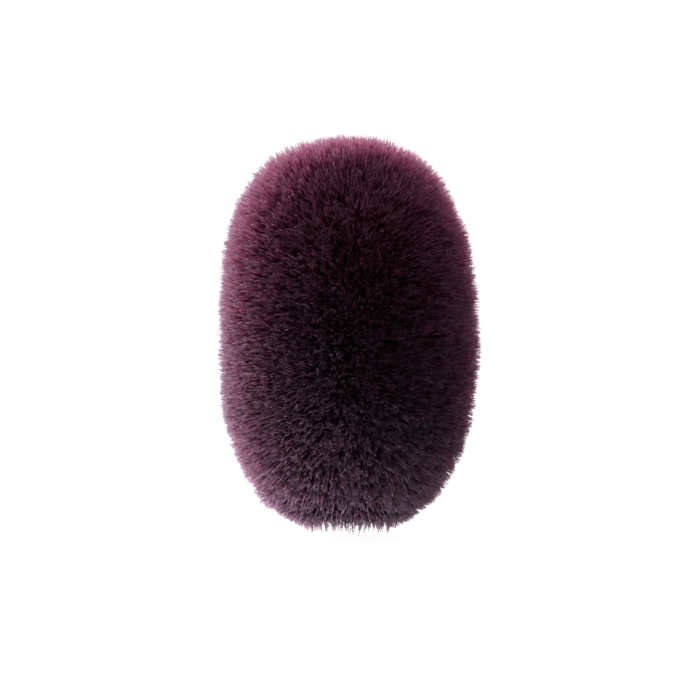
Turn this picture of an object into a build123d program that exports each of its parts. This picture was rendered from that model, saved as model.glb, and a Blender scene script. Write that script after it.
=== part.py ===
from build123d import *
import math
import os

# Furry windscreen for a miniature (lavalier) microphone.
#
# Frame: millimetres, +Z up along the microphone's axis. The origin is where the
# microphone enters the straight wall of the sleeve's bore. -Y is the front panel.
#
# From the outside in: a cover of short-pile imitation fur sewn from a front and
# a rear panel, with an elastic hem round its mouth; an open-cell foam core with
# a drilled cavity, closed by a nose plug and lined with a knitted sock; a nylon
# neck ring glued under the foam; and a silicone sleeve that grips the microphone.

# ---- driving dimensions ----
N = 2.45               # exponent of the rounded, slightly square oval outline
ZC = 19.5              # height of the widest section

TIP_R, TIP_H = 14.5, 22.0          # pile tips: radius and half height
BACK_R, BACK_H = 10.2, 17.6        # outside of the knitted backing
BACK_T = 0.5                       # thickness of the backing
FOAM_R, FOAM_H = 9.2, 16.6         # outside of the foam core
ROOT_GAP = 0.05                    # between the backing and the pile's solid
PANEL_GAP = 0.02                   # half of the gap between the front and rear panels

CUFF_RO = 5.5                      # cuff of backing round the mouth
CUFF_RI = CUFF_RO - 0.45
CUFF_Z = 1.9                       # lower edge of the cuff
PILE_MOUTH_R = 5.2                 # clear mouth through the pile
HEM_POCKET_R, HEM_POCKET_Z = 6.6, 0.3

HEM_R, HEM_Z = 5.65, 1.25          # centre of the rolled hem's section
HEM_RO, HEM_RI = 0.80, 0.58        # outside and inside of the roll
HEM_LEG_TOP = 3.2                  # top of the two legs on the cuff
HEM_LEG_T = 0.2
HEM_LEG_GAP = 0.04                 # between each leg and the cuff
ELASTIC_R = 0.5                    # elastic cord in the roll
HEM_STITCHES = 36

NECK_RI, NECK_RO = 3.8, 4.5        # neck ring tube
NECK_Z0 = 0.75
FLANGE_R, FLANGE_Z0, FLANGE_Z1 = 6.2, 5.9, 6.9
NECK_BEAD_R, NECK_BEAD_Z = 4.68, 1.1
POCKET_R, POCKET_Z = 6.35, 6.95    # pocket in the foam for the flange

SLEEVE_RO = 3.75                   # silicone sleeve
BORE_R = 3.0
BORE_L = 8.5
LEAD_IN = 0.5
SLEEVE_FLANGE_R, SLEEVE_FLANGE_Z1 = 4.6, 0.7

CAVITY_R = 3.85                    # inside of the liner
LINER_RO = 4.15
LINER_TOP = 26.0
LINER_T = 0.3
FOAM_BORE_R = 4.2
PLUG_R = 4.17
PLUG_Z0 = 26.05

SEAM_STITCH_R, SEAM_STITCH_L = 0.13, 1.5
SEAM_PITCH = 1.35                  # distance between stitches along the seam


def oval_z(r, a, b, top):
    """Height of the oval outline of half width a and half height b at radius r."""
    dz = b * (1.0 - (r / a) ** N) ** (1.0 / N)
    return ZC + dz if top else ZC - dz


def oval_r(z, a, b):
    """Radius of the oval outline at height z."""
    return a * (1.0 - (abs(z - ZC) / b) ** N) ** (1.0 / N)


def oval_points(a, b, r0, top0, r1, top1, count=17):
    """Points along the outline, evenly spread by angle, from radius r0 to r1."""
    def angle(r, top):
        z = oval_z(r, a, b, top)
        return math.atan2((z - ZC) / b, r / a)

    t0, t1 = angle(r0, top0), angle(r1, top1)
    points = []
    for i in range(count):
        t = t0 + (t1 - t0) * i / (count - 1)
        c, s = math.cos(t), math.sin(t)
        k = (abs(c) ** N + abs(s) ** N) ** (-1.0 / N)
        points.append((a * k * c, ZC + b * k * s))
    points[0] = (r0, oval_z(r0, a, b, top0))
    points[-1] = (r1, oval_z(r1, a, b, top1))
    return points


def flat(points):
    """(radius, height) pairs as points on the XZ plane."""
    return [Vector(r, 0, z) for r, z in points]


def section(*edges):
    """A face on the XZ plane from edges that close a loop."""
    return make_face(Wire.combine([e for part in edges for e in part.edges()])[0])


def turned(face, arc=360.0):
    return revolve(face, axis=Axis.Z, revolution_arc=arc)


def panels(face):
    """Front and rear halves of the turned face, with the seam's gap between them."""
    rear = turned(face, 180.0)
    front = Rot(0, 0, 180) * rear
    return Pos(0, -PANEL_GAP, 0) * front, Pos(0, PANEL_GAP, 0) * rear


def oval_spline(points, at_pole):
    tangents = None
    if at_pole == "start":
        tangents = [(1, 0, 0), tuple((flat(points)[-1] - flat(points)[-2]).normalized())]
    elif at_pole == "end":
        tangents = [tuple((flat(points)[1] - flat(points)[0]).normalized()), (-1, 0, 0)]
    return Spline(flat(points), tangents=tangents) if tangents else Spline(flat(points))


# ---- fur cover ----
def pile():
    """Space taken by the standing pile, from its roots to its tips."""
    a, b = BACK_R + ROOT_GAP, BACK_H + ROOT_GAP
    outer = oval_points(TIP_R, TIP_H, 0.0, True, PILE_MOUTH_R, False)
    inner = oval_points(a, b, HEM_POCKET_R, False, 0.0, True)
    steps = Polyline(
        *flat(
            [
                outer[-1],
                (PILE_MOUTH_R, HEM_POCKET_Z),
                (HEM_POCKET_R, HEM_POCKET_Z),
                inner[0],
            ]
        )
    )
    pole = Line(*flat([inner[-1], outer[0]]))
    return panels(
        section(oval_spline(outer, "start"), steps, oval_spline(inner, "end"), pole)
    )


def backing():
    """Knitted ground of the fur fabric, with a straight cuff round the mouth."""
    outer = oval_points(BACK_R, BACK_H, 0.0, True, CUFF_RO, False)
    inner = oval_points(BACK_R - BACK_T, BACK_H - BACK_T, CUFF_RI, False, 0.0, True)
    steps = Polyline(
        *flat([outer[-1], (CUFF_RO, CUFF_Z), (CUFF_RI, CUFF_Z), inner[0]])
    )
    pole = Line(*flat([inner[-1], outer[0]]))
    return panels(
        section(oval_spline(outer, "start"), steps, oval_spline(inner, "end"), pole)
    )


def seam_thread():
    """Stitches across the seam, on the inside, up both sides and over the crown."""
    a, b = BACK_R - BACK_T - 0.16, BACK_H - BACK_T - 0.16
    line = oval_points(a, b, 0.0, True, CUFF_RI + 0.9, False, 400)
    stitches, run, step, last = [], SEAM_PITCH / 2, 0.0, line[0]
    for r, z in line[1:]:
        step += math.hypot(r - last[0], z - last[1])
        last = (r, z)
        if step >= run:
            run += SEAM_PITCH
            for sign in (-1, 1):
                stitches.append(
                    Pos(sign * r, 0, z)
                    * Rot(90, 0, 0)
                    * Cylinder(SEAM_STITCH_R, SEAM_STITCH_L)
                )
    return stitches


def hem_binding():
    """Tape rolled round the elastic cord, its two legs sewn to the cuff."""
    leg_i = CUFF_RI - HEM_LEG_GAP - HEM_LEG_T
    leg_o = CUFF_RO + HEM_LEG_GAP
    plane = Plane.XZ
    ring = Pos(HEM_R, HEM_Z) * (Circle(HEM_RO) - Circle(HEM_RI))
    slot_i = leg_i + HEM_LEG_T
    mouth = Pos((slot_i + leg_o) / 2, HEM_Z + 0.5) * Rectangle(leg_o - slot_i, 1.0)
    inner = Pos(leg_i + HEM_LEG_T / 2, (HEM_Z + HEM_LEG_TOP) / 2) * Rectangle(
        HEM_LEG_T, HEM_LEG_TOP - HEM_Z
    )
    outer_z0 = HEM_Z + (HEM_RO + HEM_RI) / 2
    outer = Pos(leg_o + HEM_LEG_T / 2, (outer_z0 + HEM_LEG_TOP) / 2) * Rectangle(
        HEM_LEG_T, HEM_LEG_TOP - outer_z0
    )
    profile = ring - mouth + inner + outer
    return turned(plane * profile)


def hem_stitching():
    """Separate stitches round the outer leg of the hem."""
    r = CUFF_RO + HEM_LEG_GAP + HEM_LEG_T + 0.13
    out = []
    for i in range(HEM_STITCHES):
        t = 360.0 * (i + 0.5) / HEM_STITCHES
        out.append(
            Rot(0, 0, t) * Pos(r, 0, 2.6) * Rot(90, 0, 0) * Cylinder(0.11, 0.62)
        )
    return out


def elastic_cord():
    return Pos(0, 0, HEM_Z) * Torus(HEM_R, ELASTIC_R)


# ---- core ----
def foam_body():
    """Drilled open-cell foam core with a pocket for the neck ring's flange."""
    outer = oval_points(FOAM_R, FOAM_H, FOAM_BORE_R, True, POCKET_R, False)
    inside = Polyline(
        *flat(
            [
                outer[-1],
                (POCKET_R, POCKET_Z),
                (FOAM_BORE_R, POCKET_Z),
                outer[0],
            ]
        )
    )
    return turned(section(oval_spline(outer, ""), inside))


def foam_nose_plug():
    outer = oval_points(FOAM_R, FOAM_H, 0.0, True, PLUG_R, True, 7)
    inside = Polyline(*flat([outer[-1], (PLUG_R, PLUG_Z0), (0, PLUG_Z0), outer[0]]))
    return turned(section(oval_spline(outer, "start"), inside))


def bore_liner():
    """Knitted sock, closed at the top, that lines the foam's cavity."""
    z0 = POCKET_Z
    profile = Polyline(
        *flat(
            [
                (CAVITY_R, z0),
                (LINER_RO, z0),
                (LINER_RO, LINER_TOP),
                (0, LINER_TOP),
                (0, LINER_TOP - LINER_T),
                (CAVITY_R, LINER_TOP - LINER_T),
            ]
        ),
        close=True,
    )
    return turned(section(profile))


def neck_ring():
    """Tube with a glued flange above and a retaining bead below the cuff."""
    profile = Polyline(
        *flat(
            [
                (NECK_RI, NECK_Z0),
                (NECK_RO, NECK_Z0),
                (NECK_BEAD_R, NECK_BEAD_Z),
                (NECK_RO, NECK_BEAD_Z + 0.35),
                (NECK_RO, FLANGE_Z0 - 0.35),
                (NECK_RO + 0.35, FLANGE_Z0),
                (FLANGE_R, FLANGE_Z0),
                (FLANGE_R, FLANGE_Z1),
                (NECK_RI, FLANGE_Z1),
            ]
        ),
        close=True,
    )
    return turned(section(profile))


def mic_sleeve():
    """Flanged silicone sleeve with a lead-in at its mouth."""
    profile = Polyline(
        *flat(
            [
                (BORE_R + LEAD_IN, -LEAD_IN),
                (SLEEVE_FLANGE_R - 0.25, -LEAD_IN),
                (SLEEVE_FLANGE_R, -LEAD_IN + 0.25),
                (SLEEVE_FLANGE_R, SLEEVE_FLANGE_Z1),
                (SLEEVE_RO, SLEEVE_FLANGE_Z1),
                (SLEEVE_RO, BORE_L - 0.4),
                (SLEEVE_RO - 0.4, BORE_L),
                (BORE_R, BORE_L),
                (BORE_R, 0),
            ]
        ),
        close=True,
    )
    return turned(section(profile))


def main():
    os.makedirs("parts", exist_ok=True)
    pile_front, pile_rear = pile()
    backing_front, backing_rear = backing()
    nodes = {
        "pile_front": pile_front,
        "pile_rear": pile_rear,
        "backing_front": backing_front,
        "backing_rear": backing_rear,
        "side_seam_thread": Compound(children=seam_thread()),
        "hem_binding": hem_binding(),
        "hem_stitching": Compound(children=hem_stitching()),
        "elastic_cord": elastic_cord(),
        "foam_body": foam_body(),
        "foam_nose_plug": foam_nose_plug(),
        "bore_liner": bore_liner(),
        "neck_ring": neck_ring(),
        "mic_sleeve": mic_sleeve(),
    }
    for name, shape in nodes.items():
        export_step(shape, f"parts/{name}.step")


main()
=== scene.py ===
import math

import bmesh
import bpy
import numpy as np
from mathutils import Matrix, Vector
from mathutils.kdtree import KDTree


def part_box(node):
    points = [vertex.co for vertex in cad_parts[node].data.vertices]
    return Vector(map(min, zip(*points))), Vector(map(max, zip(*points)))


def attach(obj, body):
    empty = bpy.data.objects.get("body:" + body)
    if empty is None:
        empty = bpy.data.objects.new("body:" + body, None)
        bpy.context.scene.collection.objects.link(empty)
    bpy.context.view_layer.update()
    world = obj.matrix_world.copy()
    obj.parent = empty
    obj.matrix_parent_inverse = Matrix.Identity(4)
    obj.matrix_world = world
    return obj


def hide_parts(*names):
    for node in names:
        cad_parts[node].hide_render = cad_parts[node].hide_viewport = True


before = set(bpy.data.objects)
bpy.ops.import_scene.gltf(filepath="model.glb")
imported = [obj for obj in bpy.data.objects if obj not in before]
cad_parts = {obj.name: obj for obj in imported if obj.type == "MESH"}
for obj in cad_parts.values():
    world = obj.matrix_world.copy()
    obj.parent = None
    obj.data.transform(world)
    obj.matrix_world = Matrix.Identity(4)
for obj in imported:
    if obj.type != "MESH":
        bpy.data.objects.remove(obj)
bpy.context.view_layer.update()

MM = 0.001
SEED = 20614

# ---------------------------------------------------------------- the frame's own measures, in mm
lo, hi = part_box("backing_front")
BACK_R = hi.x / MM
BACK_TOP = hi.z / MM
lo_p, hi_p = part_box("pile_front")
TIP_R = hi_p.x / MM
TIP_TOP = hi_p.z / MM
TIP_LOW = lo_p.z / MM
TIP_H = 22.0
ZC = TIP_TOP - TIP_H
BACK_H = BACK_TOP - ZC
BACK_T = 0.5
N = 2.45
foam_lo, foam_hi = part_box("foam_body")
FOAM_R = foam_hi.x / MM
FOAM_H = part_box("foam_nose_plug")[1].z / MM - ZC
hem_lo, hem_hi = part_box("hem_binding")
HEM_RO = 0.80
HEM_R = hem_hi.x / MM - HEM_RO
HEM_Z = hem_lo.z / MM + HEM_RO
HEM_TOP = hem_hi.z / MM


# ---------------------------------------------------------------- node helpers
def new_material(name):
    m = bpy.data.materials.new(name)
    m.use_nodes = True
    nt = m.node_tree
    nt.nodes.clear()
    out = nt.nodes.new("ShaderNodeOutputMaterial")
    return m, nt, out


def node(nt, kind, **props):
    n = nt.nodes.new(kind)
    for k, v in props.items():
        setattr(n, k, v)
    return n


def ramp(nt, stops, interpolation="LINEAR"):
    n = nt.nodes.new("ShaderNodeValToRGB")
    n.color_ramp.interpolation = interpolation
    e = n.color_ramp.elements
    while len(e) > 1:
        e.remove(e[-1])
    e[0].position = stops[0][0]
    e[0].color = (*stops[0][1], 1)
    for p, c in stops[1:]:
        s = e.new(p)
        s.color = (*c, 1)
    return n


def math_node(nt, op, a, b=None, clamp=False):
    n = nt.nodes.new("ShaderNodeMath")
    n.operation = op
    n.use_clamp = clamp
    for i, v in enumerate((a, b)):
        if v is None:
            continue
        if isinstance(v, (int, float)):
            n.inputs[i].default_value = v
        else:
            nt.links.new(v, n.inputs[i])
    return n.outputs[0]


# ---------------------------------------------------------------- mesh from arrays
def mesh_object(name, verts_mm, faces, material, body, smooth=True, uv=None):
    """faces is a list of integer arrays, each (count, corners)."""
    me = bpy.data.meshes.new(name)
    v = np.ascontiguousarray(verts_mm, dtype=np.float32) * np.float32(MM)
    me.vertices.add(len(v))
    me.vertices.foreach_set("co", v.ravel())
    loops = np.concatenate([f.ravel() for f in faces]).astype(np.int32)
    totals = np.concatenate([np.full(len(f), f.shape[1], np.int32) for f in faces])
    starts = np.concatenate([[0], np.cumsum(totals)[:-1]]).astype(np.int32)
    me.loops.add(len(loops))
    me.loops.foreach_set("vertex_index", loops)
    me.polygons.add(len(totals))
    me.polygons.foreach_set("loop_start", starts)
    me.polygons.foreach_set("loop_total", totals)
    me.update(calc_edges=True)
    me.polygons.foreach_set("use_smooth", np.full(len(totals), smooth, bool))
    if uv is not None:
        layer = me.uv_layers.new(name="OFBake")
        layer.data.foreach_set("uv", np.ascontiguousarray(uv, np.float32).ravel())
    me.validate(verbose=False)
    me.materials.append(material)
    o = bpy.data.objects.new(name, me)
    bpy.context.scene.collection.objects.link(o)
    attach(o, body)
    return o


# ---------------------------------------------------------------- the oval outline
def oval(t, a, b):
    """Radius and height above the centre at outline angle t."""
    c, s = np.cos(t), np.sin(t)
    k = (np.abs(c) ** N + np.abs(s) ** N) ** (-1.0 / N)
    return a * k * c, b * k * s


def oval_normal(r, h, a, b):
    nr = (np.abs(r) / a) ** (N - 1) / a
    nh = np.sign(h) * (np.abs(h) / b) ** (N - 1) / b
    length = np.sqrt(nr * nr + nh * nh)
    return nr / length, nh / length


def reach(p, d, a, b):
    """Distance from p along d to the oval surface (p inside it)."""
    lo_l, hi_l = np.zeros(len(p)), np.full(len(p), 30.0)
    for _ in range(26):
        mid = (lo_l + hi_l) / 2
        q = p + d * mid[:, None]
        f = (np.hypot(q[:, 0], q[:, 1]) / a) ** N + (np.abs(q[:, 2] - ZC) / b) ** N
        inside = f < 1
        lo_l = np.where(inside, mid, lo_l)
        hi_l = np.where(inside, hi_l, mid)
    return (lo_l + hi_l) / 2


def unit(v):
    return v / np.maximum(np.linalg.norm(v, axis=1, keepdims=True), 1e-9)


def waves(p, seed, wavelength, count=14):
    """Smooth noise of about unit amplitude over points in mm."""
    g = np.random.default_rng(seed)
    k = g.normal(size=(count, 3))
    k = k / np.linalg.norm(k, axis=1, keepdims=True)
    k *= (2 * np.pi / wavelength) * g.uniform(0.6, 1.6, (count, 1))
    ph = g.uniform(0, 2 * np.pi, count)
    return np.sin(p @ k.T + ph).sum(1) * math.sqrt(2.0 / count)


# ---------------------------------------------------------------- where the fibres stand
def roots_on_oval(spacing, g):
    """Jittered rings over the backing's outside, from the mouth to the crown."""
    t = np.linspace(-np.pi / 2, np.pi / 2, 6000)
    r, h = oval(t, BACK_R, BACK_H)
    s = np.concatenate([[0], np.cumsum(np.hypot(np.diff(r), np.diff(h)))])
    start = s[np.searchsorted(np.where(t < 0, r, 99), 6.05)]
    ring_s = np.arange(start, s[-1], spacing)
    pts = []
    for i, si in enumerate(ring_s):
        ri = np.interp(si, s, r)
        n = max(1, int(round(2 * np.pi * ri / spacing)))
        phi = (np.arange(n) + g.uniform()) / n * 2 * np.pi
        phi = phi + g.uniform(-0.5, 0.5, n) * 2 * np.pi / n
        sj = si + g.uniform(-0.5, 0.5, n) * spacing
        pts.append(np.stack([sj, phi], 1))
    pts = np.concatenate(pts)
    rr = np.interp(pts[:, 0], s, r)
    hh = np.interp(pts[:, 0], s, h)
    nr, nh = oval_normal(rr, hh, BACK_R, BACK_H)
    c, sn = np.cos(pts[:, 1]), np.sin(pts[:, 1])
    p = np.stack([rr * c, rr * sn, hh + ZC], 1)
    nrm = np.stack([nr * c, nr * sn, nh], 1)
    return p, nrm


def outward(o):
    """All faces turned to the outside."""
    bm = bmesh.new()
    bm.from_mesh(o.data)
    bmesh.ops.recalc_face_normals(bm, faces=bm.faces)
    bm.to_mesh(o.data)
    bm.free()
    return o


def roots_on_hem(spacing, g):
    """The same over the outer and lower side of the rolled hem."""
    pts = []
    arc0, arc1 = math.radians(28), math.radians(-122)
    for si in np.arange(0, HEM_RO * (arc0 - arc1), spacing):
        th = arc0 - si / HEM_RO
        ri = HEM_R + HEM_RO * math.cos(th)
        n = int(round(2 * np.pi * ri / spacing))
        phi = (np.arange(n) + g.uniform()) / n * 2 * np.pi
        phi = phi + g.uniform(-0.5, 0.5, n) * 2 * np.pi / n
        tj = th + g.uniform(-0.5, 0.5, n) * spacing / HEM_RO
        pts.append(np.stack([tj, phi], 1))
    pts = np.concatenate(pts)
    rr = HEM_R + HEM_RO * np.cos(pts[:, 0])
    zz = HEM_Z + HEM_RO * np.sin(pts[:, 0])
    c, sn = np.cos(pts[:, 1]), np.sin(pts[:, 1])
    p = np.stack([rr * c, rr * sn, zz], 1)
    nrm = np.stack([np.cos(pts[:, 0]) * c, np.cos(pts[:, 0]) * sn, np.sin(pts[:, 0])], 1)
    return p, nrm


def lie(p, nrm):
    """Direction the pile stands in: along the normal, brushed a little."""
    d = nrm.copy()
    # broad, uneven brushing
    for axis, seed in ((0, 11), (1, 12), (2, 13)):
        d[:, axis] += 0.035 * waves(p, SEED + seed, 13.0)
        d[:, axis] += 0.035 * waves(p, SEED + seed + 10, 3.0)
    # the lowest rows hang down round the mouth
    low = np.clip((6.5 - p[:, 2]) / 4.5, 0, 1)
    d[:, 2] -= 0.24 * low
    # the pile closes over the seam
    side = np.exp(-(np.abs(p[:, 1]) / 0.7) ** 2)
    d[:, 1] -= 0.035 * np.sign(p[:, 1]) * side
    return unit(d)


def outline_scale(p):
    """How far the tips stand against the even oval, by place."""
    phi = np.arctan2(p[:, 1], p[:, 0])
    z = p[:, 2]
    e = 1.010 + 0.010 * waves(p, SEED + 31, 9.0) + 0.008 * waves(p, SEED + 32, 3.2)
    # the shoulders are fuller than an even oval, most of all at the upper left
    h = z - ZC
    theta = np.arctan2(np.abs(h) / BACK_H, np.hypot(p[:, 0], p[:, 1]) / BACK_R)
    corner = np.sin(2 * theta) ** 2
    sx = p[:, 0] / np.maximum(np.hypot(p[:, 0], p[:, 1]), 1e-6)
    e += corner * np.where(h > 0, 0.045 - 0.030 * sx, 0.055 - 0.005 * sx)
    e += 0.045 * np.clip((1.7 - z) / 1.4, 0, 1) + 0.010 * np.clip((3.0 - z) / 1.4, 0, 1)
    e -= 0.018 * (h > 0) * np.exp(-(((theta - 1.27) / 0.17) ** 2))
    right = np.exp(-((phi / 0.75) ** 2))
    left = np.exp(-(((np.pi - np.abs(phi)) / 0.75) ** 2))
    # a short dip above a fuller place on the right, where the panels meet
    e -= 0.050 * right * np.exp(-(((z - 31.6) / 1.3) ** 2))
    e += 0.020 * right * np.exp(-(((z - 19.0) / 5.0) ** 2))
    # slighter ones on the left
    e -= 0.030 * left * np.exp(-(((z - 24.6) / 1.6) ** 2))
    e -= 0.022 * left * np.exp(-(((z - 9.6) / 1.4) ** 2))
    return e


def strands(spacing, clump_spacing):
    g = np.random.default_rng(SEED)
    p1, n1 = roots_on_oval(spacing, g)
    p2, n2 = roots_on_hem(spacing, g)
    p, nrm = np.concatenate([p1, p2]), np.concatenate([n1, n2])
    c1, m1 = roots_on_oval(clump_spacing, g)
    c2, m2 = roots_on_hem(clump_spacing, g)
    c, cn = np.concatenate([c1, c2]), np.concatenate([m1, m2])
    # no fibre grows in the seam itself
    keep = np.abs(p[:, 1]) > 0.10
    p, nrm = p[keep], nrm[keep]
    keep = np.abs(c[:, 1]) > 0.15
    c, cn = c[keep], cn[keep]

    # clumps: direction and length shared by neighbours
    cd = unit(lie(c, cn) + 0.085 * g.normal(size=c.shape))
    c_reach = reach(c, cd, TIP_R, TIP_H)
    c_len = c_reach * outline_scale(c) * g.uniform(0.80, 1.0, len(c)) ** 0.8
    ctip = c + cd * c_len[:, None]

    # two halves are clumped apart, so that none crosses the seam
    owner = np.zeros(len(p), int)
    for sign in (-1, 1):
        ci = np.nonzero(np.sign(c[:, 1]) == sign)[0]
        tree = KDTree(len(ci))
        for k in ci:
            tree.insert(c[k], int(k))
        tree.balance()
        wob = 0.09
        for k in np.nonzero(np.sign(p[:, 1]) == sign)[0]:
            q = p[k] + wob * g.normal(size=3)
            owner[k] = tree.find(q)[1]

    d = unit(lie(p, nrm) + 0.075 * g.normal(size=p.shape))
    own_len = reach(p, d, TIP_R, TIP_H) * outline_scale(p)
    # some of the fibres reach the shorn surface, the others end below it
    short = 1.0 - 0.40 * g.uniform(size=len(p)) ** 0.9
    shorn = g.uniform(size=len(p)) < 0.38
    short[shorn] = g.uniform(0.965, 1.0, shorn.sum())
    proud = g.uniform(size=len(p)) < 0.006
    short[proud] = g.uniform(1.0, 1.03, proud.sum())
    length = own_len * short * (0.2 + 0.8 * (c_len / c_reach)[owner])
    return g, p, nrm, d, length, owner, c, cd, ctip


RINGS = np.array([0.0, 0.50, 0.78, 0.965])
RADII = np.array([0.050, 0.042, 0.031, 0.024])
CRIMP = 0.08
VARIANTS = 64
FAMILY = 31


def tubes(g, p, d, length, owner, c, cd, ctip, pull, variant):
    """Three-sided closed tapering tubes along curved lines."""
    n, rings = len(p), len(RINGS)
    ref = unit(g.normal(size=(n, 3)))
    e1 = unit(np.cross(d, ref))
    e2 = np.cross(d, e1)
    amp = g.uniform(0.01, 0.08, n)
    om = g.uniform(2.0, 7.0, n)
    ph = g.uniform(0, 2 * np.pi, n)
    bend = g.normal(size=(n, 2)) * 0.05
    levels = np.append(RINGS, 1.0)
    line = []
    c_dir = ctip[owner] - c[owner]
    c_unit = c_dir / np.linalg.norm(c_dir, axis=1, keepdims=True)
    for s in levels:
        q = p + d * (length * s)[:, None]
        w = (pull * s**1.3)[:, None]
        q = q * (1 - w) + (c[owner] + c_unit * (s * length)[:, None]) * w
        crimp = CRIMP * max(0.0, s - 0.4) * g.normal(size=(n, 2))
        a1 = amp * s * np.cos(om * s + ph) + bend[:, 0] * s * s + crimp[:, 0]
        a2 = amp * s * np.sin(om * s + ph) + bend[:, 1] * s * s + crimp[:, 1]
        line.append(q + e1 * a1[:, None] + e2 * a2[:, None])
    line[0] = p - d * 0.02
    thick = g.uniform(0.80, 1.20, n)
    verts = np.zeros((n, rings * 3 + 1, 3), np.float32)
    for i in range(rings):
        for j in range(3):
            a = 2 * np.pi * j / 3
            off = (e1 * math.cos(a) + e2 * math.sin(a)) * (RADII[i] * thick)[:, None]
            verts[:, i * 3 + j] = line[i] + off
    tip = rings * 3
    verts[:, tip] = line[rings]
    # faces of one tube, with the place of each corner in its own column of the layout
    quads, qu, tris, tu = [], [], [], []
    for i in range(rings - 1):
        v0, v1 = levels[i], levels[i + 1]
        for j in range(3):
            k = (j + 1) % 3
            quads.append((i * 3 + j, i * 3 + k, i * 3 + 3 + k, i * 3 + 3 + j))
            qu.append(((j / 3, v0), ((j + 1) / 3, v0), ((j + 1) / 3, v1), (j / 3, v1)))
    top = rings * 3 - 3
    for j in range(3):
        tris.append((top + j, top + (j + 1) % 3, tip))
        tu.append(((j / 3, levels[rings - 1]), ((j + 1) / 3, levels[rings - 1]), ((j + 0.5) / 3, 1.0)))
    tris.append((0, 2, 1))
    tu.append(((0.1, 0.0), (0.5, 0.02), (0.9, 0.0)))
    base = (np.arange(n) * (tip + 1))[:, None, None]
    fq = (np.array(quads)[None] + base).reshape(-1, 4)
    ft = (np.array(tris)[None] + base).reshape(-1, 3)

    def place(u):
        u = np.array(u)
        r = np.zeros((n,) + u.shape)
        r[..., 0] = (variant[:, None, None] + 0.04 + 0.92 * u[None, ..., 0]) / VARIANTS
        r[..., 1] = 0.002 + 0.996 * u[None, ..., 1]
        return r.reshape(-1, 2)

    return verts.reshape(-1, 3), [fq, ft], np.concatenate([place(qu), place(tu)])


def loose_fibres(g, p, d, length):
    """Long pale fibres: each rises from its root to near the shorn surface, then curls
    over among the tips. Six-sided closed tubes."""
    sides, rings = 5, 15
    verts, quads, tris, uq, ut = [], [], [], [], []
    th = np.arange(sides) / sides * 2 * np.pi
    for k in range(len(p)):
        side = unit(np.cross(d[k], g.normal(size=3))[None])[0]
        third = np.cross(d[k], side)
        s = np.linspace(0, 1, rings)
        rise = 1 - (1 - np.clip(s / 0.72, 0, 1)) ** 1.6
        over = np.clip((s - 0.50) / 0.50, 0, 1) ** 1.3 * g.uniform(0.15, 0.85)
        curl = g.uniform(0.05, 0.22) * np.sin(s * g.uniform(5, 11) + g.uniform(0, 6)) * s
        line = (
            p[k]
            + d[k] * (rise * length[k] * g.uniform(0.90, 0.98))[:, None]
            + side * over[:, None]
            + third * curl[:, None]
        )
        line[0] = p[k] - d[k] * 0.02
        t = unit(np.gradient(line, axis=0))
        e1 = unit(np.cross(t, side + 0.3 * third) + 1e-9)
        e1 = np.where(np.sum(e1 * third, 1)[:, None] < 0, -e1, e1)
        e2 = np.cross(t, e1)
        rad = g.uniform(0.020, 0.029) * np.append(np.ones(rings - 1), 0.35)
        ring = line[:, None] + rad[:, None, None] * (
            e1[:, None] * np.cos(th)[None, :, None] + e2[:, None] * np.sin(th)[None, :, None]
        )
        base = len(verts) * (rings * sides + 2)
        verts.append(np.concatenate([ring.reshape(-1, 3), line[[0, -1]]]))
        # the two pale columns, those of the painted glints
        col = VARIANTS - 1 - int(g.integers(0, 2))
        i, j = np.meshgrid(np.arange(rings - 1), np.arange(sides), indexing="ij")
        j2 = (j + 1) % sides
        quads.append(
            (base + np.stack([i * sides + j, i * sides + j2, (i + 1) * sides + j2, (i + 1) * sides + j], 2)).reshape(-1, 4)
        )
        u0, u1 = (col + 0.04 + 0.92 * j / sides) / VARIANTS, (col + 0.04 + 0.92 * (j + 1) / sides) / VARIANTS
        v0, v1 = i / rings, (i + 1) / rings
        uq.append(np.stack([np.stack([u0, v0], 2), np.stack([u1, v0], 2), np.stack([u1, v1], 2), np.stack([u0, v1], 2)], 2).reshape(-1, 2))
        jj = np.arange(sides)
        a, b = base + rings * sides, base + rings * sides + 1
        last = base + (rings - 1) * sides
        tris.append(np.stack([np.full(sides, a), base + (jj + 1) % sides, base + jj], 1))
        tris.append(np.stack([np.full(sides, b), last + jj, last + (jj + 1) % sides], 1))
        w = (col + 0.1 + 0.8 * jj / sides) / VARIANTS
        x = (col + 0.5) / VARIANTS + 0 * w
        ut.append(np.stack([np.stack([x, 0 * w], 1), np.stack([w, 0 * w + 0.01], 1), np.stack([w + 0.001, 0 * w + 0.01], 1)], 1).reshape(-1, 2))
        ut.append(np.stack([np.stack([x, 0 * w + 0.999], 1), np.stack([w, 0 * w + 0.99], 1), np.stack([w + 0.001, 0 * w + 0.99], 1)], 1).reshape(-1, 2))
    return np.concatenate(verts), [np.concatenate(quads), np.concatenate(tris)], np.concatenate(uq + ut)


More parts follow.
